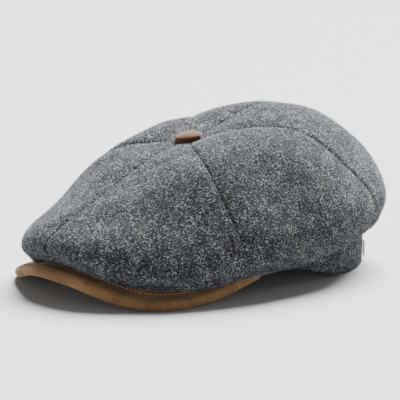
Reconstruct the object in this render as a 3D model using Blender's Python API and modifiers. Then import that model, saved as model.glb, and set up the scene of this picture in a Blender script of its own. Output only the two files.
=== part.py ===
"""Flat cap with a puffed crown of six wool panels, a stiff suede-covered peak and a covered button.

Metres, +Z up. The peak points along -Y, the wearer's left is +X and the cap stands on Z = 0.
The head opening is an oval; everything else is placed from it.
"""

import math

import bmesh
import bpy
import numpy as np
from mathutils import Matrix, Vector

# Head opening and the band round it
OPENING_WIDTH = 0.160
OPENING_LENGTH = 0.208
BAND_WALL = 0.003
BAND_HEIGHT = 0.042
BAND_EDGE_ROUND = 0.0008
RIM_LIFT = 0.014
RIM_FLAT_BEHIND = 0.048
RIM_RISE_LENGTH = 0.085

# Peak
PEAK_DEPTH = 0.0637
PEAK_THICKNESS = 0.0046
PEAK_CAMBER = 0.0020
PEAK_DROP = 0.003
PEAK_HALF_ANGLE = 58.0

# Crown
CLOTH_WALL = 0.0022
CROWN_SIDE_OVERHANG = 0.021
CROWN_REAR_OVERHANG = 0.013
CROWN_FRONT_SETBACK = 0.005
CROWN_HEIGHT = 0.1175
TUCK_UP = 0.041
FOLD_ROUND = 0.0045
FOLD_TURNS = (90, 45, 0, -45, -90)
TUCK_SLOPE = 0.6
PEAK_FADE = 0.25
PUFF = 0.0028
SEAM_GAP = 0.0003

# Button and the flat seat under it, whose height is a share of the crown's
SEAT_SHARE = 0.821
BUTTON_FORWARD = 0.0435
BUTTON_DIAMETER = 0.0195
BUTTON_HEIGHT = 0.0052
BUTTON_TILT = 13.0
SEAT_RADIUS = 0.0125
PANEL_TIP_RADIUS = 0.003

# Small metal plate on the band, at the wearer's left of the back
PLATE_WIDTH = 0.0085
PLATE_HEIGHT = 0.011
PLATE_THICKNESS = 0.0014
PLATE_ROUND = 0.0004
PLATE_ANGLE = 150.0
PLATE_UP = 0.0088

PANEL_STEPS_ACROSS = 11
PANEL_STEPS_DOWN = {"top": 10, "side": 4, "fold": 9, "tuck": 3}
PEAK_SECTIONS = 37
BAND_SECTIONS = 72
BUTTON_STEPS = 28

# Places worked out from the sizes above
HALF_WIDTH = OPENING_WIDTH / 2 + BAND_WALL
HALF_LENGTH = OPENING_LENGTH / 2 + BAND_WALL
CENTRE_Y = (PEAK_DEPTH + SEAM_GAP - CROWN_REAR_OVERHANG) / 2
BUTTON_Y = CENTRE_Y - BUTTON_FORWARD
PEAK_TIP_Y = CENTRE_Y - HALF_LENGTH - SEAM_GAP - PEAK_DEPTH
CROWN_FRONT_REACH = BUTTON_Y - PEAK_TIP_Y - CROWN_FRONT_SETBACK
CROWN_REAR_REACH = CENTRE_Y + HALF_LENGTH + CROWN_REAR_OVERHANG - BUTTON_Y
CROWN_HALF_WIDTH = HALF_WIDTH + CROWN_SIDE_OVERHANG
SEAT_HEIGHT = CROWN_HEIGHT * SEAT_SHARE

# Sections of the crown, from the front (0 degrees) round to the back (180), alike on both sides.
# reach: share of the plan oval. The heights are shares of CROWN_HEIGHT: inner, middle and shoulder at
# the radius shares of STATION_RADII, widest at the full reach, fold at the lowest line of the cloth.
# fold_out: how far out from the band that fold lies, as a share of the overhang.
CROWN_COLUMNS = ("angle", "reach", "inner", "middle", "shoulder", "widest", "fold_out", "fold")
CROWN_SECTIONS = (
    (0, 1.01, 0.710, 0.568, 0.435, 0.270, 0.88, 0.205),
    (30, 0.98, 0.730, 0.590, 0.400, 0.190, 0.85, 0.100),
    (60, 0.96, 0.795, 0.715, 0.485, 0.190, 0.80, 0.095),
    (90, 0.95, 0.845, 0.770, 0.545, 0.240, 0.70, 0.140),
    (120, 1.01, 0.880, 0.845, 0.630, 0.325, 0.60, 0.200),
    (150, 1.03, 0.925, 0.915, 0.705, 0.400, 0.52, 0.265),
    (180, 1.00, 0.980, 0.975, 0.800, 0.430, 0.47, 0.255),
)
STATION_RADII = {"inner": 0.34, "middle": 0.60, "shoulder": 0.85}

# Seams between the panels: plan angle at the button and at the fold
SEAM_COLUMNS = ("at_button", "at_fold")
SEAMS = (
    (0, 0),
    (52, 75),
    (131, 141),
    (180, 180),
)

# Peak from its centre line (0) to its corner (1): depth as a share of PEAK_DEPTH and the height of its
# outer edge as a share of RIM_LIFT.
PEAK_COLUMNS = ("along", "depth", "edge")
PEAK_TABLE = (
    (0.00, 1.00, 1.14),
    (0.18, 0.965, 0.85),
    (0.36, 0.94, 0.26),
    (0.50, 0.89, 0.01),
    (0.60, 0.76, 0.00),
    (0.70, 0.57, 0.08),
    (0.82, 0.37, 0.42),
    (1.00, 0.17, 0.90),
)


def column(table, names, name):
    """One named column of a table of sections."""
    return np.array([row[names.index(name)] for row in table], float)


def spline(knots, values, at):
    """Natural cubic spline: values (..., K, D) at knots (..., K), read at one place (...) each."""
    shape = np.shape(at)
    count = np.shape(knots)[-1]
    knots = np.broadcast_to(knots, shape + (count,))
    values = np.broadcast_to(values, shape + np.shape(values)[-2:])
    gaps = np.diff(knots)
    slopes = np.diff(values, axis=-2) / gaps[..., None]
    system = np.zeros(shape + (count, count))
    system[..., 0, 0] = system[..., -1, -1] = 1
    turns = np.zeros_like(values)
    for k in range(1, count - 1):
        system[..., k, k - 1] = gaps[..., k - 1]
        system[..., k, k] = 2 * (gaps[..., k - 1] + gaps[..., k])
        system[..., k, k + 1] = gaps[..., k]
        turns[..., k, :] = 6 * (slopes[..., k, :] - slopes[..., k - 1, :])
    bends = np.linalg.solve(system, turns)
    piece = np.clip(np.sum(knots <= np.asarray(at)[..., None], -1) - 1, 0, count - 2)[..., None]
    gap = np.take_along_axis(gaps, piece, -1)
    after = (np.asarray(at)[..., None] - np.take_along_axis(knots, piece, -1)) / gap
    before = 1 - after
    low, high = piece[..., None], piece[..., None] + 1
    value = before * np.take_along_axis(values, low, -2)[..., 0, :]
    value = value + after * np.take_along_axis(values, high, -2)[..., 0, :]
    bent = (before**3 - before) * np.take_along_axis(bends, low, -2)[..., 0, :]
    bent = bent + (after**3 - after) * np.take_along_axis(bends, high, -2)[..., 0, :]
    return value + bent * gap**2 / 6


def wave_fit(name):
    """Cosine series through one column of the crown's sections, so that it runs smoothly round the cap."""
    angles = np.radians(column(CROWN_SECTIONS, CROWN_COLUMNS, "angle"))
    waves = np.cos(np.outer(angles, np.arange(len(angles))))
    return np.linalg.solve(waves, column(CROWN_SECTIONS, CROWN_COLUMNS, name))


CROWN_WAVES = {name: wave_fit(name) for name in CROWN_COLUMNS[1:]}


def round_the_crown(name, angle):
    """Value of one column of the crown's sections at any plan angle."""
    orders = np.arange(len(CROWN_SECTIONS))
    return np.cos(np.asarray(angle)[..., None] * orders) @ CROWN_WAVES[name]


def smooth_step(share):
    share = np.clip(share, 0, 1)
    return share * share * (3 - 2 * share)


def rim_height(y):
    """Height of the band's lower edge: flat on the ground behind, arched up beside and before the ears."""
    flat_from = CENTRE_Y + RIM_FLAT_BEHIND
    return RIM_LIFT * smooth_step((flat_from - y) / RIM_RISE_LENGTH)


def band_radius(angle):
    """Distance from the opening's centre to the band's outer face, at a plan angle from the front."""
    return 1 / np.hypot(np.sin(angle) / HALF_WIDTH, np.cos(angle) / HALF_LENGTH)


def band_reach(angle):
    """Distance from the button's axis to the band's outer face, at a plan angle from the front."""
    across = (np.sin(angle) / HALF_WIDTH)**2 + (np.cos(angle) / HALF_LENGTH)**2
    ahead = np.cos(angle) * BUTTON_FORWARD / HALF_LENGTH**2
    inside = (BUTTON_FORWARD / HALF_LENGTH)**2 - 1
    return (-ahead + np.sqrt(ahead**2 - across * inside)) / across


def peak_value(name, along):
    """One column of the peak's table at any place from its centre line to its corner."""
    knots = column(PEAK_TABLE, PEAK_COLUMNS, "along")
    values = column(PEAK_TABLE, PEAK_COLUMNS, name)
    both_sides = np.concatenate([-knots[:0:-1], knots])
    return spline(both_sides, np.concatenate([values[:0:-1], values])[:, None], np.clip(along, -1, 1))[..., 0]


def peak_foot(angle):
    """Height of the peak's lower face where it meets the band."""
    return rim_height(CENTRE_Y - band_radius(angle) * np.cos(angle)) - PEAK_DROP


def peak_top(x, y):
    """Height of the peak's upper face at a place in plan, with its share of the way to the peak's corner
    and its distance past the peak's outer edge."""
    angle = np.arctan2(x, CENTRE_Y - y)
    along = np.abs(angle) / math.radians(PEAK_HALF_ANGLE)
    depth = PEAK_DEPTH * peak_value("depth", along)
    out = (np.hypot(x, CENTRE_Y - y) - band_radius(angle)) / depth
    edge = RIM_LIFT * peak_value("edge", along)
    foot = peak_foot(angle)
    camber = PEAK_CAMBER * np.maximum(4 * out * (1 - out), 0)
    return foot + (edge - foot) * out + PEAK_THICKNESS + camber, along, (out - 1) * depth


def crown_stations(angle):
    """Radius and height (..., K, 2) of each station of the crown's section at the plan angles given."""
    front = np.cos(angle) > 0
    fore_aft = np.where(front, CROWN_FRONT_REACH, CROWN_REAR_REACH)
    oval = 1 / np.hypot(np.sin(angle) / CROWN_HALF_WIDTH, np.cos(angle) / fore_aft)
    reach = oval * round_the_crown("reach", angle)
    tilt = math.tan(math.radians(BUTTON_TILT))
    radii = [np.full(angle.shape, PANEL_TIP_RADIUS), np.full(angle.shape, SEAT_RADIUS)]
    heights = [SEAT_HEIGHT - radii[0] * np.cos(angle) * tilt, SEAT_HEIGHT - radii[1] * np.cos(angle) * tilt]
    for name, share in STATION_RADII.items():
        radii.append(reach * share)
        heights.append(CROWN_HEIGHT * round_the_crown(name, angle))
    radii.append(reach)
    heights.append(CROWN_HEIGHT * round_the_crown("widest", angle))
    tuck_radius = band_reach(angle) + SEAM_GAP
    fold_radius = tuck_radius + (reach - tuck_radius) * round_the_crown("fold_out", angle)
    fold_height = CROWN_HEIGHT * round_the_crown("fold", angle)
    # Over the peak the fold clears its upper face, beside the fold's lowest line too
    for aside in np.arange(-3, 1.5, 0.5) * FOLD_ROUND:
        near = fold_radius + aside
        top, along, beyond = peak_top(near * np.sin(angle), BUTTON_Y - near * np.cos(angle))
        over_peak = (1 - smooth_step((along - 1) / PEAK_FADE)) * (1 - smooth_step(beyond / FOLD_ROUND))
        rise = min(aside**2 / FOLD_ROUND, FOLD_ROUND + TUCK_SLOPE * (abs(aside) - FOLD_ROUND))
        fold_height = fold_height + over_peak * np.maximum(top + 2 * SEAM_GAP - rise - fold_height, 0)
    for turn in np.radians(FOLD_TURNS):
        radii.append(fold_radius + FOLD_ROUND * np.sin(turn))
        heights.append(fold_height + FOLD_ROUND * (1 - np.cos(turn)))
    radii.append(tuck_radius)
    heights.append(rim_height(BUTTON_Y - tuck_radius * np.cos(angle)) + TUCK_UP)
    return np.stack([np.stack(radii, -1), np.stack(heights, -1)], -1)


def section_knots(stations):
    """Place of each station along the cloth, from the button (0) to the band (1)."""
    steps = np.linalg.norm(np.diff(stations, axis=-2), axis=-1)
    run = np.cumsum(steps, -1)
    return np.concatenate([np.zeros_like(run[..., :1]), run], -1) / run[..., -1:]


KNOTS = section_knots(crown_stations(np.array(math.pi / 2)))
SHOULDER_KNOT, WIDEST_KNOT, FOLD_KNOT, TUCK_KNOT = KNOTS[4], KNOTS[5], KNOTS[8], KNOTS[10]


def crown_base(angle, down):
    """Points of the plain crown, with no puff, at plan angles and places down the section."""
    stations = crown_stations(angle)
    knots = section_knots(stations)
    piece = np.clip(np.searchsorted(KNOTS, down, side="right") - 1, 0, len(KNOTS) - 2)
    share = (down - KNOTS[piece]) / (KNOTS[piece + 1] - KNOTS[piece])
    start = np.take_along_axis(knots, piece[..., None], -1)[..., 0]
    end = np.take_along_axis(knots, piece[..., None] + 1, -1)[..., 0]
    radius, height = np.moveaxis(spline(knots, stations, start + (end - start) * share), -1, 0)
    return np.stack([radius * np.sin(angle), BUTTON_Y - radius * np.cos(angle), height], -1)


def crown_normal(angle, down):
    """Outward direction of the plain crown."""
    step = 1e-4
    round_way = crown_base(angle + step, down) - crown_base(angle - step, down)
    down_way = crown_base(angle, down + step) - crown_base(angle, down - step)
    normal = np.cross(down_way, round_way)
    return normal / np.linalg.norm(normal, axis=-1, keepdims=True)


def seam_angle(seam, down):
    """Plan angle of a seam, which swings back as it runs down to the band."""
    at_button, at_fold = seam
    return np.radians(at_button + (at_fold - at_button) * np.clip(down / FOLD_KNOT, 0, 1))


def crown_point(seams, across, down, inside=0.0):
    """Point of a puffed panel, from one seam (across 0) to the next (across 1), at a depth in the cloth."""
    first, last = seam_angle(seams[0], down), seam_angle(seams[1], down)
    middle = crown_base((first + last) / 2, down)
    margin = SEAM_GAP / 2 / np.hypot(middle[..., 0], middle[..., 1] - BUTTON_Y)
    angle = first + margin + (last - first - 2 * margin) * across
    rise = smooth_step(down / KNOTS[2]) * (1 - smooth_step((down - WIDEST_KNOT) / (FOLD_KNOT - WIDEST_KNOT)))
    puff = PUFF * rise * np.sin(math.pi * across)**0.8
    return crown_base(angle, down) + crown_normal(angle, down) * (puff - inside)[..., None]


def cloth_material(name, colour, roughness, metallic=0.0):
    material = bpy.data.materials.new(name)
    material.use_nodes = True
    shader = material.node_tree.nodes["Principled BSDF"]
    shader.inputs["Base Color"].default_value = (*colour, 1)
    shader.inputs["Roughness"].default_value = roughness
    shader.inputs["Metallic"].default_value = metallic
    material.diffuse_color = (*colour, 1)
    return material


def add_object(name, mesh, material):
    obj = bpy.data.objects.new(name, mesh)
    mesh.materials.append(material)
    parts.objects.link(obj)
    return obj


def loft(rings, closed_length=False):
    """Solid through rings of points, all of one count, closed on itself or capped at its two ends."""
    bm = bmesh.new()
    rows = [[bm.verts.new(point) for point in ring] for ring in rings]
    pairs = list(zip(rows, rows[1:]))
    if closed_length:
        pairs.append((rows[-1], rows[0]))
    for row, following in pairs:
        for k in range(len(row)):
            bm.faces.new((row[k - 1], row[k], following[k], following[k - 1]))
    for row in ([] if closed_length else (rows[0], rows[-1])):
        first, last = 0, len(row) - 1
        while last - first > 1:
            corners = (row[first], row[first + 1], row[last - 1], row[last])
            bm.faces.new(corners[:2] + corners[3:] if last - first == 2 else corners)
            first, last = first + 1, last - 1
    bmesh.ops.recalc_face_normals(bm, faces=bm.faces)
    mesh = bpy.data.meshes.new("loft")
    bm.to_mesh(mesh)
    bm.free()
    mesh.shade_smooth()
    return mesh


def add_panel(name, seams, material):
    """One wedge of the crown: its outer face down the section and its inner face back, ring by ring."""
    ends = (0, SHOULDER_KNOT, WIDEST_KNOT, TUCK_KNOT, 1)
    stretches = zip(ends, ends[1:], PANEL_STEPS_DOWN.values())
    down = np.concatenate([np.linspace(start, end, steps + 1)[1:] for start, end, steps in stretches])
    down = np.insert(down, 0, 0)
    across_grid, down_grid = np.meshgrid(np.linspace(0, 1, PANEL_STEPS_ACROSS + 1), down)
    outer = crown_point(seams, across_grid, down_grid)
    inner = crown_point(seams, across_grid, down_grid, CLOTH_WALL)
    rings = np.concatenate([outer, inner[:, ::-1]], axis=1)
    return add_object(name, loft(rings), material)


def peak_ring(angle):
    """Section of the peak at a plan angle round the opening: flat below, cambered above, round outside."""
    along = abs(angle) / math.radians(PEAK_HALF_ANGLE)
    depth = PEAK_DEPTH * peak_value("depth", along)
    edge = RIM_LIFT * peak_value("edge", along)
    inner = float(band_radius(angle)) + SEAM_GAP
    foot = float(peak_foot(angle))
    half = PEAK_THICKNESS / 2
    shares = np.linspace(0, 1 - half / depth, 6)

    def low(share):
        return foot + (edge - foot) * share

    section = [(share * depth, low(share)) for share in shares]
    nose_at, nose_low = section[-1]
    for turn in np.linspace(-90, 90, 7)[1:-1]:
        across, up = math.cos(math.radians(turn)), math.sin(math.radians(turn))
        section.append((nose_at + half * across, nose_low + half + half * up))
    for share in shares[::-1]:
        camber = PEAK_CAMBER * 4 * share * (1 - share)
        section.append((share * depth, low(share) + PEAK_THICKNESS + camber))
    way = Vector((math.sin(angle), -math.cos(angle), 0))
    centre = Vector((0, CENTRE_Y, 0))
    return [centre + way * (inner + out) + Vector((0, 0, up)) for out, up in section]


def add_peak(material):
    half_angle = math.radians(PEAK_HALF_ANGLE)
    angles = np.linspace(-half_angle, half_angle, PEAK_SECTIONS)
    return add_object("peak", loft([peak_ring(a) for a in angles]), material)


def add_headband(material):
    """Upright cloth band round the opening, its lower edge following the rim."""
    rings = []
    inner_back = BAND_WALL
    bevel = BAND_EDGE_ROUND
    for angle in np.linspace(0, 2 * math.pi, BAND_SECTIONS, endpoint=False):
        outer = float(band_radius(angle))
        along = Vector((math.sin(angle), -math.cos(angle), 0))
        face = Vector((math.sin(angle) / HALF_WIDTH**2, -math.cos(angle) / HALF_LENGTH**2, 0)).normalized()
        on_face = Vector((0, CENTRE_Y, 0)) + along * outer
        foot = float(rim_height(on_face.y))
        section = [
            (bevel, 0), (0, bevel), (0, BAND_HEIGHT - bevel), (bevel, BAND_HEIGHT),
            (inner_back - bevel, BAND_HEIGHT), (inner_back, BAND_HEIGHT - bevel),
            (inner_back, bevel), (inner_back - bevel, 0),
        ]
        rings.append([on_face - face * inward + Vector((0, 0, foot + up)) for inward, up in section])
    return add_object("headband", loft(rings, closed_length=True), material)


def add_button(material):
    """Domed covered button: a turned profile, seated on the crown and tipped forward with it."""
    radius = BUTTON_DIAMETER / 2
    edge = BUTTON_HEIGHT * 0.32
    profile = [(0.0, BUTTON_HEIGHT)]
    for turn in np.linspace(0, 90, 9)[1:]:
        a = math.radians(turn)
        profile.append((radius * math.sin(a)**0.9, edge + (BUTTON_HEIGHT - edge) * math.cos(a)))
    profile += [(radius * 0.97, edge * 0.35), (radius * 0.90, 0.0), (0.0, 0.0)]
    mesh = bpy.data.meshes.new("button")
    points = [(x, 0, z) for x, z in profile]
    mesh.from_pydata(points, [(k, k + 1) for k in range(len(points) - 1)], [])
    button = add_object("button", mesh, material)
    turned = button.modifiers.new("turned", "SCREW")
    turned.steps = BUTTON_STEPS
    turned.render_steps = BUTTON_STEPS
    turned.use_merge_vertices = True
    turned.merge_threshold = 0.0001
    turned.use_smooth_shade = True
    tilt = math.radians(BUTTON_TILT)
    lift = Matrix.Rotation(tilt, 3, "X") @ Vector((0, 0, 2 * SEAM_GAP))
    button.location = Vector((0, BUTTON_Y, SEAT_HEIGHT)) + lift
    button.rotation_euler = (tilt, 0, 0)
    return button


def add_plate(material):
    """Plain metal plate with rounded edges, standing on the band's outer face."""
    angle = math.radians(PLATE_ANGLE)
    outer = float(band_radius(angle))
    face = Vector((math.sin(angle) / HALF_WIDTH**2, -math.cos(angle) / HALF_LENGTH**2, 0)).normalized()
    on_face = Vector((math.sin(angle) * outer, CENTRE_Y - math.cos(angle) * outer, PLATE_UP))
    bpy.ops.mesh.primitive_cube_add(size=1)
    plate = bpy.context.object
    plate.name = "plate"
    plate.data.transform(Matrix.Diagonal((PLATE_THICKNESS, PLATE_WIDTH, PLATE_HEIGHT, 1)))
    for collection in list(plate.users_collection):
        collection.objects.unlink(plate)
    parts.objects.link(plate)
    plate.data.materials.append(material)
    plate.rotation_euler = (0, 0, math.atan2(face.y, face.x))
    plate.location = on_face + face * (PLATE_THICKNESS / 2 + SEAM_GAP)
    rounded = plate.modifiers.new("rounded", "BEVEL")
    rounded.width = PLATE_ROUND
    rounded.segments = 2
    return plate


for stale in list(bpy.data.objects):
    bpy.data.objects.remove(stale, do_unlink=True)
parts = bpy.data.collections.new("flat_cap")
bpy.context.scene.collection.children.link(parts)

wool = cloth_material("grey_wool", (0.085, 0.095, 0.110), 0.95)
tan_suede = cloth_material("tan_suede", (0.115, 0.068, 0.036), 0.90)
metal = cloth_material("bright_metal", (0.80, 0.78, 0.74), 0.30, metallic=1.0)

for side, turn in (("left", 1), ("right", -1)):
    for place, start, end in zip(("front", "side", "back"), SEAMS, SEAMS[1:]):
        first, last = sorted((np.multiply(start, turn), np.multiply(end, turn)), key=tuple)
        add_panel(f"crown_panel_{place}_{side}", (first, last), wool.copy())
add_peak(tan_suede)
add_headband(wool.copy())
add_button(tan_suede.copy())
add_plate(metal)
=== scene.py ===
import math

import bmesh
import bpy
import numpy as np
from mathutils import Matrix, Vector


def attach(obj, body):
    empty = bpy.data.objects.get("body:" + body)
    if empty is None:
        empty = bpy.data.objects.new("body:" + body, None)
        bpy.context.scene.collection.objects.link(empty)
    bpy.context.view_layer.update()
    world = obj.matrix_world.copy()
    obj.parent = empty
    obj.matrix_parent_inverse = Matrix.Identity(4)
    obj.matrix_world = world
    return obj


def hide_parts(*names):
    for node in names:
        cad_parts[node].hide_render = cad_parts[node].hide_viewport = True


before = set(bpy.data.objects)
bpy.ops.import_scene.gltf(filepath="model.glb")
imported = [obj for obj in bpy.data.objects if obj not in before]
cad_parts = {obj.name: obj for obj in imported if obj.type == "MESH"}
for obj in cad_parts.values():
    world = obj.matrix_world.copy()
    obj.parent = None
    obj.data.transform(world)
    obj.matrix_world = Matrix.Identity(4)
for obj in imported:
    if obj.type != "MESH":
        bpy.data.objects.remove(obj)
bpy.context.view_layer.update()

# The setting: the cap stands on a sweep of pale paper that rises far behind it on every side. A broad light
# shines from above and behind, with a weak lamp before the cap and one low behind it, and the camera looks
# down a little on the cap's front left.


def linear(colour):
    """sRGB hex such as "8a8f98" as linear red, green, blue."""
    parts = [int(colour[k:k + 2], 16) / 255 for k in (0, 2, 4)]
    return [p / 12.92 if p <= 0.04045 else ((p + 0.055) / 1.055)**2.4 for p in parts]


def feed(tree, made, sockets):
    """Gives sockets a value, an sRGB colour, or the output that feeds them.

    A socket goes by its name, with _ for a space, or by its place, as i0 or i7.
    """
    for key, value in sockets.items():
        socket = made.inputs[int(key[1:]) if key[1:].isdigit() else key.replace("_", " ")]
        if isinstance(value, bpy.types.NodeSocket):
            tree.links.new(value, socket)
        elif isinstance(value, str):
            socket.default_value = (*linear(value), 1)
        else:
            socket.default_value = value


def node(tree, kind, settings=None, **sockets):
    """One shader node with its settings and links."""
    made = tree.nodes.new(kind)
    for key, value in (settings or {}).items():
        setattr(made, key, value)
    feed(tree, made, sockets)
    return made


def material(name, **sockets):
    """A material with its node tree and its Principled shader, some of whose sockets are set."""
    made = bpy.data.materials.new(name)
    made.use_nodes = True
    shader = made.node_tree.nodes["Principled BSDF"]
    feed(made.node_tree, shader, sockets)
    return made, made.node_tree, shader


VIEW_AZIMUTH = 49.0
VIEW_ELEVATION = 9.5
VIEW_DISTANCE = 1.05
VIEW_AIM = Vector((-0.0006, -0.0068, 0.0517))
VIEW_WIDTH = 0.288

azimuth, elevation = math.radians(VIEW_AZIMUTH), math.radians(VIEW_ELEVATION)
to_camera = Vector((
    math.sin(azimuth) * math.cos(elevation),
    -math.cos(azimuth) * math.cos(elevation),
    math.sin(elevation),
))
camera = bpy.data.objects.new("camera", bpy.data.cameras.new("camera"))
camera.data.lens = camera.data.sensor_width * VIEW_DISTANCE / VIEW_WIDTH
camera.location = VIEW_AIM + to_camera * VIEW_DISTANCE
camera.rotation_euler = to_camera.to_track_quat("Z", "Y").to_euler()
bpy.context.scene.collection.objects.link(camera)
bpy.context.scene.camera = camera

# Background paper is uncoated and matt, so it shows the cap's soft shadow and no gloss.
paper = material("white_background_paper", Base_Color="a6a6a6", Roughness=0.95)[0]

SWEEP_PROFILE = ((0.0, 0.0), (5.0, 0.0), (6.5, 0.1), (7.6, 0.6), (8.2, 2.0))
SWEEP_STEPS = 64
SWEEP_DROP = 0.0004

bm = bmesh.new()
outline = [bm.verts.new((x, 0, z - SWEEP_DROP)) for x, z in SWEEP_PROFILE]
edges = [bm.edges.new(pair) for pair in zip(outline, outline[1:])]
bmesh.ops.spin(bm, geom=outline + edges, cent=(0, 0, 0), axis=(0, 0, 1), angle=math.tau, steps=SWEEP_STEPS,
               use_merge=True)
bmesh.ops.remove_doubles(bm, verts=bm.verts, dist=1e-5)
bmesh.ops.recalc_face_normals(bm, faces=bm.faces)
bmesh.ops.reverse_faces(bm, faces=bm.faces)
sweep_mesh = bpy.data.meshes.new("paper_sweep")
bm.to_mesh(sweep_mesh)
bm.free()
sweep_mesh.shade_smooth()
sweep_mesh.materials.append(paper)
sweep = bpy.data.objects.new("paper_sweep", sweep_mesh)
bpy.context.scene.collection.objects.link(sweep)

# spread is the sun's angle in radians or a lamp's side in metres.
WORLD_STRENGTH = 0.14
LIGHT_COLUMNS = ("name", "kind", "place", "spread", "power")
LIGHTS = (
    ("light_overhead", "SUN", (-0.43, 0.84, 1.15), 0.7, 27.0),
    ("lamp_front", "AREA", (-1.0, -1.2, 1.0), 0.9, 2.4),
    ("lamp_rear", "AREA", (0.50, 1.50, 0.35), 0.5, 7.0),
)

world = bpy.data.worlds.new("studio")
world.use_nodes = True
feed(world.node_tree, world.node_tree.nodes["Background"], {"Color": "ffffff", "Strength": WORLD_STRENGTH})
bpy.context.scene.world = world

for light in (dict(zip(LIGHT_COLUMNS, row)) for row in LIGHTS):
    lamp = bpy.data.objects.new(light["name"], bpy.data.lights.new(light["name"], light["kind"]))
    setattr(lamp.data, "angle" if light["kind"] == "SUN" else "size", light["spread"])
    lamp.data.energy = light["power"]
    lamp.location = light["place"]
    lamp.rotation_euler = Vector(light["place"]).to_track_quat("Z", "Y").to_euler()
    bpy.context.scene.collection.objects.link(lamp)

# The crown: six wedges of melange wool cut to meet under the button. Each is puffed between its seams,
# rolls over a soft fold and tucks back up to the band. The seam allowances are pressed open inside, which
# sinks the seam and swells the cloth beside it, and a topstitch holds them 3 mm from the seam.

# Head opening and the band round it
OPENING_WIDTH = 0.160
OPENING_LENGTH = 0.208
BAND_WALL = 0.003
RIM_LIFT = 0.014
RIM_FLAT_BEHIND = 0.048
RIM_RISE_LENGTH = 0.085

# Peak
PEAK_DEPTH = 0.0637
PEAK_THICKNESS = 0.0046
PEAK_CAMBER = 0.0020
PEAK_DROP = 0.003
PEAK_HALF_ANGLE = math.radians(58)

# Crown
CLOTH_WALL = 0.0022
SIDE_OVERHANG = 0.021
REAR_OVERHANG = 0.013
FRONT_SETBACK = 0.005
CROWN_HEIGHT = 0.1175
TUCK_UP = 0.041
FOLD_ROUND = 0.0045
FOLD_TURNS = np.radians((90, 45, 0, -45, -90))
TUCK_SLOPE = 0.6
PEAK_FADE = 0.25
PUFF = 0.0028
GAP = 0.0003

# Seat of the button, whose height is a share of the crown's
SEAT_SHARE = 0.821
BUTTON_FORWARD = 0.0435
BUTTON_TILT = math.radians(13)
SEAT_RADIUS = 0.0125
TIP_RADIUS = 0.003

# Places worked out from the sizes above
HALF_WIDTH = OPENING_WIDTH / 2 + BAND_WALL
HALF_LENGTH = OPENING_LENGTH / 2 + BAND_WALL
CENTRE_Y = (PEAK_DEPTH + GAP - REAR_OVERHANG) / 2
BUTTON_Y = CENTRE_Y - BUTTON_FORWARD
FRONT_REACH = BUTTON_Y - (CENTRE_Y - HALF_LENGTH - GAP - PEAK_DEPTH) - FRONT_SETBACK
REAR_REACH = CENTRE_Y + HALF_LENGTH + REAR_OVERHANG - BUTTON_Y
SEAT_HEIGHT = CROWN_HEIGHT * SEAT_SHARE

# Sections of the crown from the front (0 degrees) round to the back (180), alike on both sides. reach is a
# share of the plan oval. The heights are shares of CROWN_HEIGHT: inner, middle and shoulder at the radius
# shares of STATION_RADII, widest at the full reach, and fold at the lowest line of the cloth. fold_out is
# how far out from the band that fold lies, as a share of the overhang.
CROWN = {
    "angle": (0, 30, 60, 90, 120, 150, 180),
    "reach": (1.01, 0.98, 0.96, 0.95, 1.01, 1.03, 1.00),
    "inner": (0.710, 0.730, 0.795, 0.845, 0.880, 0.925, 0.980),
    "middle": (0.568, 0.590, 0.715, 0.770, 0.845, 0.915, 0.975),
    "shoulder": (0.435, 0.400, 0.485, 0.545, 0.630, 0.705, 0.800),
    "widest": (0.270, 0.190, 0.190, 0.240, 0.325, 0.400, 0.430),
    "fold_out": (0.88, 0.85, 0.80, 0.70, 0.60, 0.52, 0.47),
    "fold": (0.205, 0.100, 0.095, 0.140, 0.200, 0.265, 0.255),
}
STATION_RADII = {"inner": 0.34, "middle": 0.60, "shoulder": 0.85, "widest": 1.0}

# The peak from its centre line (0) to its corner (1): depth as a share of PEAK_DEPTH, and the height of its
# outer edge as a share of RIM_LIFT.
PEAK = {
    "along": (0.00, 0.18, 0.36, 0.50, 0.60, 0.70, 0.82, 1.00),
    "depth": (1.00, 0.965, 0.94, 0.89, 0.76, 0.57, 0.37, 0.17),
    "edge": (1.14, 0.85, 0.26, 0.01, 0.00, 0.08, 0.42, 0.90),
}

# Seams between the panels, from front to back: plan angle in degrees at the button and at the fold, and the
# share of the full seam relief that each one shows.
SEAMS = ((0, 0), (52, 75), (131, 141), (180, 180))
SEAM_STRENGTHS = (0.6, 0.75, 0.4, 0.8)


def spline(knots, values, at):
    """Natural cubic spline: values (..., K, D) at knots (..., K), read at one place (...) each."""
    shape, count = np.shape(at), np.shape(knots)[-1]
    knots = np.broadcast_to(knots, shape + (count,))
    values = np.broadcast_to(values, shape + np.shape(values)[-2:])
    gaps = np.diff(knots)
    slopes = np.diff(values, axis=-2) / gaps[..., None]
    system = np.zeros(shape + (count, count))
    system[..., 0, 0] = system[..., -1, -1] = 1
    turns = np.zeros_like(values)
    for k in range(1, count - 1):
        system[..., k, k - 1] = gaps[..., k - 1]
        system[..., k, k] = 2 * (gaps[..., k - 1] + gaps[..., k])
        system[..., k, k + 1] = gaps[..., k]
        turns[..., k, :] = 6 * (slopes[..., k, :] - slopes[..., k - 1, :])
    bends = np.linalg.solve(system, turns)
    piece = np.clip(np.sum(knots <= np.asarray(at)[..., None], -1) - 1, 0, count - 2)[..., None]
    gap = np.take_along_axis(gaps, piece, -1)
    after = (np.asarray(at)[..., None] - np.take_along_axis(knots, piece, -1)) / gap
    before = 1 - after
    low, high = piece[..., None], piece[..., None] + 1
    value = before * np.take_along_axis(values, low, -2)[..., 0, :]
    value = value + after * np.take_along_axis(values, high, -2)[..., 0, :]
    bent = (before**3 - before) * np.take_along_axis(bends, low, -2)[..., 0, :]
    bent = bent + (after**3 - after) * np.take_along_axis(bends, high, -2)[..., 0, :]
    return value + bent * gap**2 / 6


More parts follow.
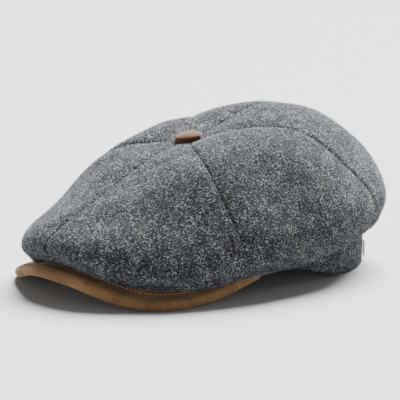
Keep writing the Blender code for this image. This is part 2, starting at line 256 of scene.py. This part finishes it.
def ease(share):
    """0 below 0, 1 above 1, and a smooth rise between."""
    share = np.clip(share, 0, 1)
    return share * share * (3 - 2 * share)


def round_the_crown(name, angle):
    """One row of the crown's sections, as a cosine series round the cap."""
    orders = np.arange(len(CROWN["angle"]))
    waves = np.linalg.solve(np.cos(np.outer(np.radians(CROWN["angle"]), orders)), CROWN[name])
    return np.cos(np.asarray(angle)[..., None] * orders) @ waves


def rim_height(y):
    """Height of the band's lower edge, flat behind and rising toward the peak."""
    return RIM_LIFT * ease((CENTRE_Y + RIM_FLAT_BEHIND - y) / RIM_RISE_LENGTH)


def band_radius(angle):
    """From the band's centre to its outer face."""
    return 1 / np.hypot(np.sin(angle) / HALF_WIDTH, np.cos(angle) / HALF_LENGTH)


def band_reach(angle):
    """From the button's axis to the band's outer face."""
    across = (np.sin(angle) / HALF_WIDTH)**2 + (np.cos(angle) / HALF_LENGTH)**2
    ahead = np.cos(angle) * BUTTON_FORWARD / HALF_LENGTH**2
    return (-ahead + np.sqrt(ahead**2 - across * ((BUTTON_FORWARD / HALF_LENGTH)**2 - 1))) / across


# The peak's rows are mirrored about its centre line, so that they run smoothly across it.
ALONG = np.linspace(0, 1, 1001)
BOTH_WAYS = np.array([-along for along in PEAK["along"][:0:-1]] + list(PEAK["along"]))
PEAK_CURVES = {
    name: spline(BOTH_WAYS, np.array(PEAK[name][:0:-1] + PEAK[name])[:, None], ALONG)[..., 0]
    for name in ("depth", "edge")
}


def peak_value(name, along):
    """One row of the peak's table, read along its half width."""
    return np.interp(np.abs(along), ALONG, PEAK_CURVES[name])


def peak_foot(angle):
    """Height of the peak's under face where it meets the band."""
    return rim_height(CENTRE_Y - band_radius(angle) * np.cos(angle)) - PEAK_DROP


def peak_top(x, y):
    """Height of the peak's upper face, share of the way to its corner, distance past its edge."""
    angle = np.arctan2(x, CENTRE_Y - y)
    along = np.abs(angle) / PEAK_HALF_ANGLE
    depth = PEAK_DEPTH * peak_value("depth", along)
    out = (np.hypot(x, CENTRE_Y - y) - band_radius(angle)) / depth
    foot = peak_foot(angle)
    camber = PEAK_CAMBER * np.maximum(4 * out * (1 - out), 0)
    height = foot + (RIM_LIFT * peak_value("edge", along) - foot) * out + PEAK_THICKNESS + camber
    return height, along, (out - 1) * depth


def section_stations(angle):
    """Radius and height of the crown's section from the button to the band, at plan angles.

    Over the peak the fold is lifted clear of its upper face, at a few places across the fold.
    """
    fore_aft = np.where(np.cos(angle) > 0, FRONT_REACH, REAR_REACH)
    oval = 1 / np.hypot(np.sin(angle) / (HALF_WIDTH + SIDE_OVERHANG), np.cos(angle) / fore_aft)
    reach = oval * round_the_crown("reach", angle)
    radii = [np.full(angle.shape, TIP_RADIUS), np.full(angle.shape, SEAT_RADIUS)]
    heights = [SEAT_HEIGHT - r * np.cos(angle) * math.tan(BUTTON_TILT) for r in radii]
    for name, share in STATION_RADII.items():
        radii.append(reach * share)
        heights.append(CROWN_HEIGHT * round_the_crown(name, angle))
    tuck_radius = band_reach(angle) + GAP
    fold_radius = tuck_radius + (reach - tuck_radius) * round_the_crown("fold_out", angle)
    fold_height = CROWN_HEIGHT * round_the_crown("fold", angle)
    for aside in np.arange(-3, 1.5, 0.5) * FOLD_ROUND:
        near = fold_radius + aside
        top, along, beyond = peak_top(near * np.sin(angle), BUTTON_Y - near * np.cos(angle))
        over_peak = (1 - ease((along - 1) / PEAK_FADE)) * (1 - ease(beyond / FOLD_ROUND))
        rise = min(aside**2 / FOLD_ROUND, FOLD_ROUND + TUCK_SLOPE * (abs(aside) - FOLD_ROUND))
        fold_height = fold_height + over_peak * np.maximum(top + 2 * GAP - rise - fold_height, 0)
    for turn in FOLD_TURNS:
        radii.append(fold_radius + FOLD_ROUND * np.sin(turn))
        heights.append(fold_height + FOLD_ROUND * (1 - np.cos(turn)))
    radii.append(tuck_radius)
    heights.append(rim_height(BUTTON_Y - tuck_radius * np.cos(angle)) + TUCK_UP)
    return np.stack([np.stack(radii, -1), np.stack(heights, -1)], -1)


# The sections are worked out once, a quarter of a degree apart all round.
STATION_ANGLES = np.radians(np.arange(-180, 180.1, 0.25))
STATIONS = section_stations(STATION_ANGLES)


def crown_stations(angle):
    """The section's stations at any plan angle, between the worked-out ones."""
    place = (np.asarray(angle) - STATION_ANGLES[0]) / (STATION_ANGLES[1] - STATION_ANGLES[0])
    low = np.clip(np.floor(place).astype(int), 0, len(STATIONS) - 2)
    share = (place - low)[..., None, None]
    return STATIONS[low] * (1 - share) + STATIONS[low + 1] * share


def section_knots(stations):
    """How far down the section each station lies, 0 at the button to 1 at the band."""
    run = np.cumsum(np.linalg.norm(np.diff(stations, axis=-2), axis=-1), -1)
    return np.concatenate([np.zeros_like(run[..., :1]), run], -1) / run[..., -1:]


SIDE_STATIONS = crown_stations(np.array(math.pi / 2))
SECTION_LENGTH = float(np.sum(np.linalg.norm(np.diff(SIDE_STATIONS, axis=0), axis=-1)))
KNOTS = section_knots(SIDE_STATIONS)
INNER, WIDEST, FOLD, TUCK = KNOTS[2], KNOTS[5], KNOTS[8], KNOTS[10]


def crown_base(angle, down):
    """The plain crown at plan angles and at places down the section."""
    stations = crown_stations(angle)
    knots = section_knots(stations)
    piece = np.clip(np.searchsorted(KNOTS, down, side="right") - 1, 0, len(KNOTS) - 2)
    share = (down - KNOTS[piece]) / (KNOTS[piece + 1] - KNOTS[piece])
    start = np.take_along_axis(knots, piece[..., None], -1)[..., 0]
    end = np.take_along_axis(knots, piece[..., None] + 1, -1)[..., 0]
    radius, height = np.moveaxis(spline(knots, stations, start + (end - start) * share), -1, 0)
    return np.stack([radius * np.sin(angle), BUTTON_Y - radius * np.cos(angle), height], -1)


NORMAL_STEP_ROUND = 0.004
NORMAL_STEP_DOWN = 0.0005


def crown_normal(angle, down):
    """Outward direction of the plain crown, from small steps round it and down it."""
    round_way = crown_base(angle + NORMAL_STEP_ROUND, down) - crown_base(angle - NORMAL_STEP_ROUND, down)
    down_way = crown_base(angle, down + NORMAL_STEP_DOWN) - crown_base(angle, down - NORMAL_STEP_DOWN)
    normal = np.cross(down_way, round_way)
    return normal / np.linalg.norm(normal, axis=-1, keepdims=True)


def seam_angle(seam, down):
    """Plan angle of a seam, which swings from its place at the button to its place at the fold."""
    return np.radians(seam[0] + (seam[1] - seam[0]) * np.clip(down / FOLD, 0, 1))


def soft_waves(x, y, z, seed, length):
    """Gentle uneven swell of about -1 to 1, from a few sine waves whose crests lie about a length apart."""
    waves = np.random.default_rng(seed)
    total = np.zeros_like(x)
    for _ in range(7):
        way = waves.normal(size=3)
        way *= math.tau / length * waves.uniform(0.7, 1.4) / np.linalg.norm(way)
        total += np.sin(x * way[0] + y * way[1] + z * way[2] + waves.uniform(0, math.tau))
    return total / 4


# Relief along a seam, in metres: how much it sinks or swells, how far aside and how wide. The last two are
# in radians: how uneven the puckers are, and how far their start shifts for a degree of the seam's angle.
SEAM_SUNK = 0.00090
SEAM_WIDTH = 0.0009
SWELL = 0.00016
SWELL_ASIDE = 0.0055
SWELL_WIDTH = 0.0024
STITCH_SUNK = 0.00030
STITCH_ASIDE = 0.0030
STITCH_WIDTH = 0.0006
PUCKER = 0.00024
PUCKER_ASIDE = 0.0015
PUCKER_WIDTH = 0.004
PUCKER_LENGTH = 0.0084
PUCKER_DRIFT = 0.031
PUCKER_UNEVEN = 1.4
PUCKER_OFFSET = 3.7


def bulge(from_line, width):
    """1 on a line, fading to nothing about two widths from it."""
    return np.exp(-(from_line / width)**2)


def seam_relief(from_seam, run, seam):
    """Sunken seam, swelling beside it, the line of the topstitch, and slight puckers across them."""
    strength = np.interp(seam, [at_fold for _, at_fold in SEAMS], SEAM_STRENGTHS)
    sunk = -SEAM_SUNK * bulge(from_seam, SEAM_WIDTH)
    swell = SWELL * bulge(from_seam - SWELL_ASIDE, SWELL_WIDTH)
    stitch = -STITCH_SUNK * bulge(from_seam - STITCH_ASIDE, STITCH_WIDTH)
    drift = PUCKER_UNEVEN * np.sin(math.tau * run / PUCKER_DRIFT)
    wave = np.sin(math.tau * run / PUCKER_LENGTH + seam * PUCKER_OFFSET + drift)
    pucker = PUCKER * wave * bulge(from_seam - PUCKER_ASIDE, PUCKER_WIDTH)
    return strength * (sunk + swell + stitch + pucker)


def panel_width(first_seam, last_seam, down):
    """Plan angles of a panel's two seams and its width in metres, at places down the section."""
    first, last = seam_angle(first_seam, down), seam_angle(last_seam, down)
    middle = crown_base((first + last) / 2, down)
    radius = np.hypot(middle[..., 0], middle[..., 1] - BUTTON_Y)
    return first, last, (last - first) * radius


# Form of a panel, in metres. RELIEF_START, RELIEF_RISE and DENT_FADE are shares of the section's length,
# PUFF_FULLNESS is a power and CALM_IN_TUCK a share. The dents stay clear of the seams and the button.
PANEL_MARGIN = 0.00004
PUFF_FULLNESS = 0.8
RELIEF_START = 0.03
RELIEF_RISE = 0.08
CALM_IN_TUCK = 0.7
DENT = 0.0007
DENT_LENGTH = 0.05
DENT_SEED = 11
DENT_FADE = 0.1
FLAT_AT_SEAM = 0.012


def panel_face(first_seam, last_seam, across, down, lift=0.0):
    """Outer face of a panel: place, outward direction, metres across from its middle, metres down."""
    first, last, width = panel_width(first_seam, last_seam, down)
    angle = first + (last - first) * (across + (1 - 2 * across) * PANEL_MARGIN / width)
    normal = crown_normal(angle, down)
    point = crown_base(angle, down)
    rise = ease(down / INNER) * (1 - ease((down - WIDEST) / (FOLD - WIDEST)))
    puff = PUFF * rise * np.sin(math.pi * np.clip(across, 0, 1))**PUFF_FULLNESS
    from_seam = np.minimum(across, 1 - across) * width
    run = down * SECTION_LENGTH
    nearer = np.abs(np.where(across < 0.5, first_seam[1], last_seam[1]))
    below_button = ease((down - RELIEF_START) / RELIEF_RISE)
    relief = seam_relief(from_seam, run, nearer) * below_button
    relief = relief * (1 - CALM_IN_TUCK * ease((down - FOLD) / (1 - FOLD)))
    dents = DENT * soft_waves(*np.moveaxis(point, -1, 0), DENT_SEED, DENT_LENGTH)
    dents = dents * ease(from_seam / FLAT_AT_SEAM) * below_button
    dents = dents * (1 - ease((down - WIDEST) / DENT_FADE))
    return point + normal * (puff + relief + dents + lift)[..., None], normal, (across - 0.5) * width, run


# Melange wool flannel is woven from dark and pale fibres and brushed. The eye gets a dense salt-and-pepper
# speckle, quite matt, and a little paler at grazing angles where the nap catches light. A fibre is 0.02 mm
# thick, too fine to show, so the speckle is drawn 1 to 2 mm across, the size of the tufts that do.
SPECKLE_MM = 1.0
TUFTS = ((0.9, 2.2, 1.0), (-0.6, 2.0, 0.9))
TUFT_SHARE = 0.28
CLOUD_MM = 9
CLOUD_SHARE = 0.24
SHARE_ADDED = {"operation": "MULTIPLY_ADD"}


def melange_wool(name, dark, mid, pale):
    """Speckle, tufts that lean two ways and soft clouds, all added up and coloured by one ramp."""
    made, tree, shader = material(
        name, Roughness=0.95, Specular_IOR_Level=0.2,
        Sheen_Weight=0.12, Sheen_Roughness=0.35, Sheen_Tint="d5d9e0",
    )
    place = node(tree, "ShaderNodeTexCoord").outputs["Object"]
    grain = node(tree, "ShaderNodeUVMap", {"uv_map": "cloth"}).outputs[0]
    total = node(tree, "ShaderNodeTexNoise", Vector=place, Scale=1000 / SPECKLE_MM, Detail=2.0,
                 Roughness=0.75).outputs[0]
    for lean, long_mm, wide_mm in TUFTS:
        laid = node(tree, "ShaderNodeMapping", Vector=grain, Rotation=(0, 0, lean),
                    Scale=(1000 / long_mm, 1000 / wide_mm, 1)).outputs[0]
        tufts = node(tree, "ShaderNodeTexNoise", {"noise_dimensions": "2D"}, Vector=laid, Scale=1.0,
                     Detail=1.0).outputs[0]
        total = node(tree, "ShaderNodeMath", SHARE_ADDED, i0=tufts, i1=TUFT_SHARE, i2=total).outputs[0]
    cloud = node(tree, "ShaderNodeTexNoise", Vector=place, Scale=1000 / CLOUD_MM, Detail=2.0).outputs[0]
    total = node(tree, "ShaderNodeMath", SHARE_ADDED, i0=cloud, i1=CLOUD_SHARE, i2=total).outputs[0]
    spread = node(tree, "ShaderNodeMapRange", Value=total, From_Min=0.80, From_Max=1.10).outputs[0]
    colours = node(tree, "ShaderNodeValToRGB", Fac=spread)
    ramp = colours.color_ramp
    ramp.elements[0].color = (*linear(dark), 1)
    ramp.elements[1].color = (*linear(pale), 1)
    ramp.elements.new(0.45).color = (*linear(mid), 1)
    tint = node(tree, "ShaderNodeTexNoise", Vector=place, Scale=1000 / CLOUD_MM, Detail=1.0).outputs[0]
    tinted = node(tree, "ShaderNodeMapRange", Value=tint, From_Min=0.4, From_Max=0.6).outputs[0]
    cast = node(tree, "ShaderNodeMix", {"data_type": "RGBA"}, i0=tinted, i6="eef1ff", i7="f2f9ef").outputs[2]
    cloth = node(tree, "ShaderNodeMix", {"data_type": "RGBA", "blend_type": "MULTIPLY"}, i0=1.0,
                 i6=colours.outputs[0], i7=cast).outputs[2]
    bump = node(tree, "ShaderNodeBump", Height=spread, Strength=1.0, Distance=0.0016).outputs[0]
    feed(tree, shader, {"Base Color": cloth, "Normal": bump})
    return made


crown_wool = melange_wool("brushed_melange_wool_flannel", "000102", "121419", "acb0b8")


def cloth_uv(mesh, sideways, lengthways):
    """UV map "cloth" in metres on the cloth, from one value for each vertex."""
    layer = mesh.uv_layers.new(name="cloth")
    corner = np.empty(len(mesh.loops), int)
    mesh.loops.foreach_get("vertex_index", corner)
    layer.data.foreach_set("uv", np.stack([sideways[corner], lengthways[corner]], -1).ravel())


def mesh_points(mesh):
    """A mesh's vertices as one array, a row for each."""
    flat = np.empty(len(mesh.vertices) * 3)
    mesh.vertices.foreach_get("co", flat)
    return flat.reshape(-1, 3)


def grid_mesh(name, across, down):
    """Flat grid of faces, spread over -0.5 to 0.5 both ways, to be laid on a surface."""
    bm = bmesh.new()
    bmesh.ops.create_grid(bm, x_segments=across, y_segments=down, size=0.5)
    mesh = bpy.data.meshes.new(name)
    bm.to_mesh(mesh)
    bm.free()
    return mesh


def face_outwards(mesh, way):
    """Faces turned to agree, and all flipped if they go against the points' known outward ways."""
    bm = bmesh.new()
    bm.from_mesh(mesh)
    bmesh.ops.recalc_face_normals(bm, faces=bm.faces)
    bm.verts.ensure_lookup_table()
    bm.normal_update()
    if sum(v.normal.dot(Vector(way[v.index])) for v in bm.verts) < 0:
        bmesh.ops.reverse_faces(bm, faces=bm.faces)
    bm.to_mesh(mesh)
    bm.free()
    mesh.shade_smooth()


def show(name, mesh, shade, node_name=None):
    """Object made of a mesh, riding the cap; it takes a CAD node's place when one is named."""
    mesh.materials.append(shade)
    piece = bpy.data.objects.new(name, mesh)
    bpy.context.scene.collection.objects.link(piece)
    if node_name:
        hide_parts(node_name)
    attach(piece, "root")
    return piece


PANEL_ACROSS = 92
PANEL_DOWN = 150
CROWDED_AT_SEAM = 0.23
WALL_SLACK = 0.0002

panels = []
for side, turn in (("left", 1), ("right", -1)):
    for place, start, end in zip(("front", "side", "back"), SEAMS, SEAMS[1:]):
        first, last = sorted((np.multiply(start, turn), np.multiply(end, turn)), key=tuple)
        panels.append((f"{place}_{side}", first, last))

for k, (name, first, last) in enumerate(panels):
    mesh = grid_mesh("cloth_crown_panel_" + name, PANEL_ACROSS, PANEL_DOWN)
    flat = mesh_points(mesh)
    across, down = flat[:, 0] + 0.5, 0.5 - flat[:, 1]
    across = across - CROWDED_AT_SEAM * np.sin(math.tau * across) / math.tau
    point, normal, sideways, run = panel_face(first, last, across, down)
    mesh.vertices.foreach_set("co", point.ravel())
    # Each panel is cut from another stretch of the cloth, 1 m further on, so its tufts lie in their own way.
    cloth_uv(mesh, sideways + (k + 1), run)
    face_outwards(mesh, normal)
    panel = show("cloth_crown_panel_" + name, mesh, crown_wool, "crown_panel_" + name)
    wall = panel.modifiers.new("wall", "SOLIDIFY")
    wall.thickness = CLOTH_WALL - WALL_SLACK
    wall.offset = -1

# The topstitching of the crown: lockstitch in dark grey thread, 3 mm from a seam, which holds the seam
# allowance down. It runs on the rear side of most seams, and a stitch is 2.3 mm long, sunk into the wool.

STITCH_PITCH = 0.0032
STITCH_LENGTH = 0.0023
STITCH_LIFT = 0.00030
STITCH_START = 0.075
THREAD_THICKNESS = 0.0006
THREAD_FLATNESS = 0.8
LINE_POINTS = 900

# Spun polyester sewing thread: fairly matt, with a faint soft edge from its fuzz.
dark_thread = material("dark_grey_sewing_thread", Base_Color="101215", Roughness=0.6, Sheen_Weight=0.2)[0]


def repeated(name, shape, places, frames, shade):
    """One mesh with a copy of a small shape at each place, turned and scaled by its 3 x 3 frame."""
    spots = places[:, None, :] + np.einsum("kij,pj->kpi", frames, mesh_points(shape))
    faces = np.array([list(face.vertices) for face in shape.polygons])
    faces = faces[None] + (np.arange(len(places)) * len(shape.vertices))[:, None, None]
    mesh = bpy.data.meshes.new(name)
    mesh.from_pydata(spots.reshape(-1, 3).tolist(), [], faces.reshape(-1, faces.shape[-1]).tolist())
    mesh.shade_smooth()
    return show(name, mesh, shade)


def small_shape(operator, **settings):
    """Mesh of a small closed or open shape from one operator, in triangles."""
    bm = bmesh.new()
    operator(bm, **settings)
    bmesh.ops.triangulate(bm, faces=bm.faces)
    mesh = bpy.data.meshes.new("small_shape")
    bm.to_mesh(mesh)
    bm.free()
    return mesh


bead = small_shape(bmesh.ops.create_uvsphere, u_segments=6, v_segments=6, radius=0.5)


def unit(ways):
    """Each way at length 1."""
    return ways / np.linalg.norm(ways, axis=-1, keepdims=True)


def stitches(name, line, outward, pitch, length, shade):
    """A bead of thread at every pitch of a line, laid along it."""
    run = np.concatenate([[0], np.cumsum(np.linalg.norm(np.diff(line, axis=0), axis=-1))])
    picks = np.searchsorted(run, np.arange(0, run[-1], pitch))
    along = unit(np.diff(line[picks], axis=0))
    aside = unit(np.cross(outward[picks][:-1], along))
    over = np.cross(along, aside) * THREAD_FLATNESS
    frames = np.stack([along * length, aside * THREAD_THICKNESS, over * THREAD_THICKNESS], -1)
    return repeated(name, bead, line[picks][:-1], frames, shade)


for name, first, last in panels:
    front_edge, rear_edge = (0, 1) if abs(first[1]) < abs(last[1]) else (1, 0)
    stitched = {"front_right": (), "back_right": (front_edge, rear_edge)}
    for edge in stitched.get(name, (front_edge,)):
        down = np.linspace(STITCH_START, TUCK, LINE_POINTS)
        aside = STITCH_ASIDE / panel_width(first, last, down)[2]
        line, outward, _, _ = panel_face(first, last, np.abs(edge - aside), down, lift=STITCH_LIFT)
        stitches(f"topstitch_{name}_{edge}", line, outward, STITCH_PITCH, STITCH_LENGTH, dark_thread)

# The nap of the wool: short loose fibres that brushing raises from the cloth, which blur its outline. A real
# fibre is 0.02 mm thick, and these are drawn 0.12 mm, so that fewer are needed.

FIBRE_LENGTH = 0.0021
FIBRE_WIDTH = 0.00012
FIBRE_SUNK = 0.0002
FIBRE_RISE = (0.15, 1.6)
FIBRE_SHARES = (0.5, 1.1)
FIBRES_ON_PANEL = 22000
MOTTLE_MM = 2.5
PLACE_SEED = 40
LEAN_SEED = 60

# Loose wool: single fibres, dark or pale as in the cloth, a little shinier than the felted nap.
loose_wool, tree, shader = material("loose_wool_fibres", Roughness=0.8)
place = node(tree, "ShaderNodeTexCoord").outputs["Object"]
mottle = node(tree, "ShaderNodeTexNoise", Vector=place, Scale=1000 / MOTTLE_MM, Detail=0.0).outputs[0]
spread = node(tree, "ShaderNodeMapRange", Value=mottle, From_Min=0.35, From_Max=0.65).outputs[0]
colour = node(tree, "ShaderNodeMix", {"data_type": "RGBA"}, i0=spread, i6="121418", i7="868a90").outputs[2]
feed(tree, shader, {"Base Color": colour})

fibre = small_shape(bmesh.ops.create_cone, segments=3, radius1=0.5, radius2=0.0, depth=1.0, cap_ends=False)
fibre.transform(Matrix.Translation((0, 0, 0.5)))


def fibres(name, places, outward, seed):
    """Fibres leaning every way off a surface."""
    chance = np.random.default_rng(seed)
    lean = unit(np.cross(outward, chance.normal(size=places.shape)))
    way = unit(lean + outward * chance.uniform(*FIBRE_RISE, len(places))[:, None])
    aside = unit(np.cross(way, outward))
    length = FIBRE_LENGTH * chance.uniform(*FIBRE_SHARES, len(places))[:, None]
    frames = np.stack([aside * FIBRE_WIDTH, np.cross(way, aside) * FIBRE_WIDTH, way * length], -1)
    return repeated(name, fibre, places - outward * FIBRE_SUNK, frames, loose_wool)


for k, (name, first, last) in enumerate(panels):
    chance = np.random.default_rng(PLACE_SEED + k)
    spare = 3 * FIBRES_ON_PANEL
    across, down = chance.uniform(0.01, 0.99, spare), chance.uniform(0.05, TUCK, spare)
    width = panel_width(first, last, down)[2]
    kept = np.nonzero(chance.uniform(0, np.max(width), spare) < width)[0][:FIBRES_ON_PANEL]
    point, normal, _, _ = panel_face(first, last, across[kept], down[kept])
    fibres("nap_" + name, point, normal, LEAN_SEED + k)

# The headband: an upright strip of the same wool, folded under at its lower edge. The crown and the peak
# are sewn to it.

BAND_MEAN_RADIUS = 0.095


def cad_copy(name, piece_name):
    """Copy of a CAD node's mesh, its loose triangles merged and joined to quads, for a soft piece."""
    bm = bmesh.new()
    bm.from_mesh(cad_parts[name].data)
    bmesh.ops.remove_doubles(bm, verts=bm.verts, dist=1e-5)
    bmesh.ops.join_triangles(bm, faces=bm.faces, angle_face_threshold=math.radians(35),
                             angle_shape_threshold=math.radians(100))
    mesh = bpy.data.meshes.new(piece_name)
    bm.to_mesh(mesh)
    bm.free()
    mesh.materials.clear()
    mesh.shade_smooth()
    return mesh


def round_off(piece):
    """Rounds a piece's facets off."""
    smoothing = piece.modifiers.new("round_off", "SUBSURF")
    smoothing.levels = smoothing.render_levels = 2


mesh = cad_copy("headband", "cloth_headband")
spots = mesh_points(mesh)
cloth_uv(mesh, np.arctan2(spots[:, 0], CENTRE_Y - spots[:, 1]) * BAND_MEAN_RADIUS, spots[:, 2])
round_off(show("cloth_headband", mesh, crown_wool, "headband"))

# The peak: stiff board wrapped in tan-brown suede, its upper and under covers closed round the edge, where
# the turned-in suede makes it fuller. It is sewn to the band under the front of the crown.

CLOUD_PATCH_MM = 17
SUEDE_NAP_MM = 1.1
# Fullness of the edge in metres: outward, upward and downward, and how softly it dies away inward. Where the
# edge lies lower than LOW_EDGE over the floor it swells less downward.
EDGE_OUT = 0.0014
EDGE_UP = 0.0018
EDGE_DOWN = 0.0018
EDGE_SOFTNESS = 0.0055
LOW_EDGE = 0.006
PEAK_STITCH_IN = 0.0130
PEAK_STITCH_SUNK = 0.0003
PEAK_STITCH_WIDTH = 0.0008
# Steps round the section and rows from corner to corner
UNDER = 20
NOSE = 14
OVER = 26
PEAK_ROWS = 150


# Suede is split leather brushed to a short nap: matt, clouded where the nap lies one way or the other, with
# a fine grain. Its nap is about 0.3 mm, too fine to show, so the grain is drawn at 1.1 mm.
def tan_suede(name, deep, warm, pale):
    """Cloudy patches and a fine grain, added up and coloured by one ramp."""
    made, tree, shader = material(
        name, Roughness=0.9, Specular_IOR_Level=0.25,
        Sheen_Weight=0.15, Sheen_Roughness=0.5, Sheen_Tint="e8cdb0",
    )
    place = node(tree, "ShaderNodeTexCoord").outputs["Object"]
    cloud = node(tree, "ShaderNodeTexNoise", Vector=place, Scale=1000 / CLOUD_PATCH_MM, Detail=3.0,
                 Roughness=0.55).outputs[0]
    nap = node(tree, "ShaderNodeTexNoise", Vector=place, Scale=1000 / SUEDE_NAP_MM, Detail=3.0,
               Roughness=0.75).outputs[0]
    mixed = node(tree, "ShaderNodeMath", SHARE_ADDED, i0=nap, i1=1.1, i2=cloud).outputs[0]
    spread = node(tree, "ShaderNodeMapRange", Value=mixed, From_Min=0.72, From_Max=1.38).outputs[0]
    colours = node(tree, "ShaderNodeValToRGB", Fac=spread)
    ramp = colours.color_ramp
    ramp.elements[0].color = (*linear(deep), 1)
    ramp.elements[1].color = (*linear(pale), 1)
    ramp.elements.new(0.5).color = (*linear(warm), 1)
    bump = node(tree, "ShaderNodeBump", Height=nap, Strength=0.5, Distance=0.0003).outputs[0]
    feed(tree, shader, {"Base Color": colours.outputs[0], "Normal": bump})
    return made


peak_suede = tan_suede("brushed_tan_suede", "47321e", "654a2f", "80633f")


def peak_face(angle, place):
    """Point of the peak's closed section at plan angles.

    A place counts the steps round the section: UNDER of them out below, NOSE round the edge, OVER back on
    top, and one more down the root.
    """
    depth = PEAK_DEPTH * peak_value("depth", angle / PEAK_HALF_ANGLE)
    edge = RIM_LIFT * peak_value("edge", angle / PEAK_HALF_ANGLE)
    foot = peak_foot(angle)
    down = EDGE_DOWN * ease(edge / LOW_EDGE)
    half = (PEAK_THICKNESS + EDGE_UP + down) / 2
    widest = depth + EDGE_OUT - half
    under = np.clip(place / UNDER, 0, 1)
    over = np.clip((UNDER + NOSE + OVER - place) / OVER, 0, 1)
    turn = math.pi * (np.clip((place - UNDER) / NOSE, 0, 1) - 0.5)
    share = np.where(place < UNDER + NOSE / 2, under, over) * widest / depth
    near_edge = bulge((1 - share) * depth, EDGE_SOFTNESS) / bulge(half - EDGE_OUT, EDGE_SOFTNESS)
    low = foot + (edge - foot) * share
    stitch = PEAK_STITCH_SUNK * bulge((1 - share) * depth - PEAK_STITCH_IN, PEAK_STITCH_WIDTH)
    camber = PEAK_CAMBER * 4 * share * (1 - share)
    top = low + PEAK_THICKNESS + camber + EDGE_UP * near_edge - stitch
    bottom = low - down * near_edge
    nose = (low + PEAK_THICKNESS + EDGE_UP + low - down) / 2 + half * np.sin(turn)
    height = np.where(place <= UNDER, bottom, np.where(place < UNDER + NOSE, nose, top))
    height = np.where(place > UNDER + NOSE + OVER, low, height)
    out = band_radius(angle) + GAP + share * depth + half * np.cos(turn)
    return np.stack([out * np.sin(angle), CENTRE_Y - out * np.cos(angle), height], -1)


mesh = grid_mesh("suede_peak", UNDER + NOSE + OVER + 1, PEAK_ROWS)
flat = mesh_points(mesh)
place = np.round((flat[:, 0] + 0.5) * (UNDER + NOSE + OVER + 1))
angle = flat[:, 1] * 2 * PEAK_HALF_ANGLE
mesh.vertices.foreach_set("co", peak_face(angle, place).ravel())
bm = bmesh.new()
bm.from_mesh(mesh)
bmesh.ops.remove_doubles(bm, verts=bm.verts, dist=1e-6)
bmesh.ops.holes_fill(bm, edges=[edge for edge in bm.edges if edge.is_boundary], sides=0)
bmesh.ops.triangulate(bm, faces=[face for face in bm.faces if len(face.verts) > 4])
bmesh.ops.recalc_face_normals(bm, faces=bm.faces)
bm.to_mesh(mesh)
bm.free()
mesh.shade_smooth()
show("suede_peak", mesh, peak_suede, "peak")

# The stitching of the peak: one row in light tan thread, 13 mm in from the edge, that the crown's front
# edge half covers. It holds the upper cover to the board, and a stitch is 2.5 mm long.

PEAK_STITCH_PITCH = 0.0033
PEAK_STITCH_LENGTH = 0.0025
PEAK_STITCH_LIFT = 0.0002
PEAK_STITCH_END = 0.9
PEAK_LINE_POINTS = 3000

# The same polyester thread in light tan, smoother as it is drawn down on the suede.
tan_thread = material("light_tan_sewing_thread", Base_Color="a98c74", Roughness=0.55)[0]

angle = np.linspace(-PEAK_STITCH_END, PEAK_STITCH_END, PEAK_LINE_POINTS) * PEAK_HALF_ANGLE
depth = PEAK_DEPTH * peak_value("depth", angle / PEAK_HALF_ANGLE)
widest = depth + EDGE_OUT - (PEAK_THICKNESS + EDGE_UP) / 2
place = UNDER + NOSE + OVER - OVER * (depth - PEAK_STITCH_IN) / widest
line = peak_face(angle, place) + (0, 0, PEAK_STITCH_LIFT)
upward = np.broadcast_to((0.0, 0.0, 1.0), line.shape)
stitches("peak_stitching", line, upward, PEAK_STITCH_PITCH, PEAK_STITCH_LENGTH, tan_thread)

# The button: a domed metal shell covered in the peak's suede, which is stretched tight over it. Its copy of
# the suede is darker and deeper than the peak's, which is painted shade, as the button takes the full light
# on top of the crown. It is drawn down hard on the crossing of the seams.

# Darker and deeper than the peak's suede: painted shade on a button fully lit on the crown's top.
button_suede_painted_shade = tan_suede("brushed_tan_suede_button_painted_shade", "2a1402", "402209", "533010")
round_off(show("suede_button", cad_copy("button", "suede_button"), button_suede_painted_shade, "button"))

# The plate: a small stamped steel tab with rounded edges, nickel plated and left plain. It is pinned through
# the band at the wearer's left of the back.

BRUSH_LONG_MM = 5
BRUSH_FINE_MM = 0.25

# Satin nickel on steel: bright, with highlights that a fine brushing draws out along the plate. Real brush
# lines lie under 0.1 mm apart, too fine to show, so they are drawn 0.25 mm apart.
satin_steel, tree, shader = material("satin_nickel_plated_steel", Base_Color="bab6ae", Metallic=1.0)
place = node(tree, "ShaderNodeTexCoord").outputs["Object"]
stretch = node(tree, "ShaderNodeMapping", Vector=place,
               Scale=(1000 / BRUSH_LONG_MM, 1000 / BRUSH_LONG_MM, 1000 / BRUSH_FINE_MM)).outputs[0]
brushed = node(tree, "ShaderNodeTexNoise", Vector=stretch, Scale=1.0, Detail=2.0).outputs[0]
rough = node(tree, "ShaderNodeMapRange", Value=brushed, To_Min=0.22, To_Max=0.40).outputs[0]
feed(tree, shader, {"Roughness": rough})
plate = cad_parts["plate"]
plate.data.materials.clear()
plate.data.materials.append(satin_steel)
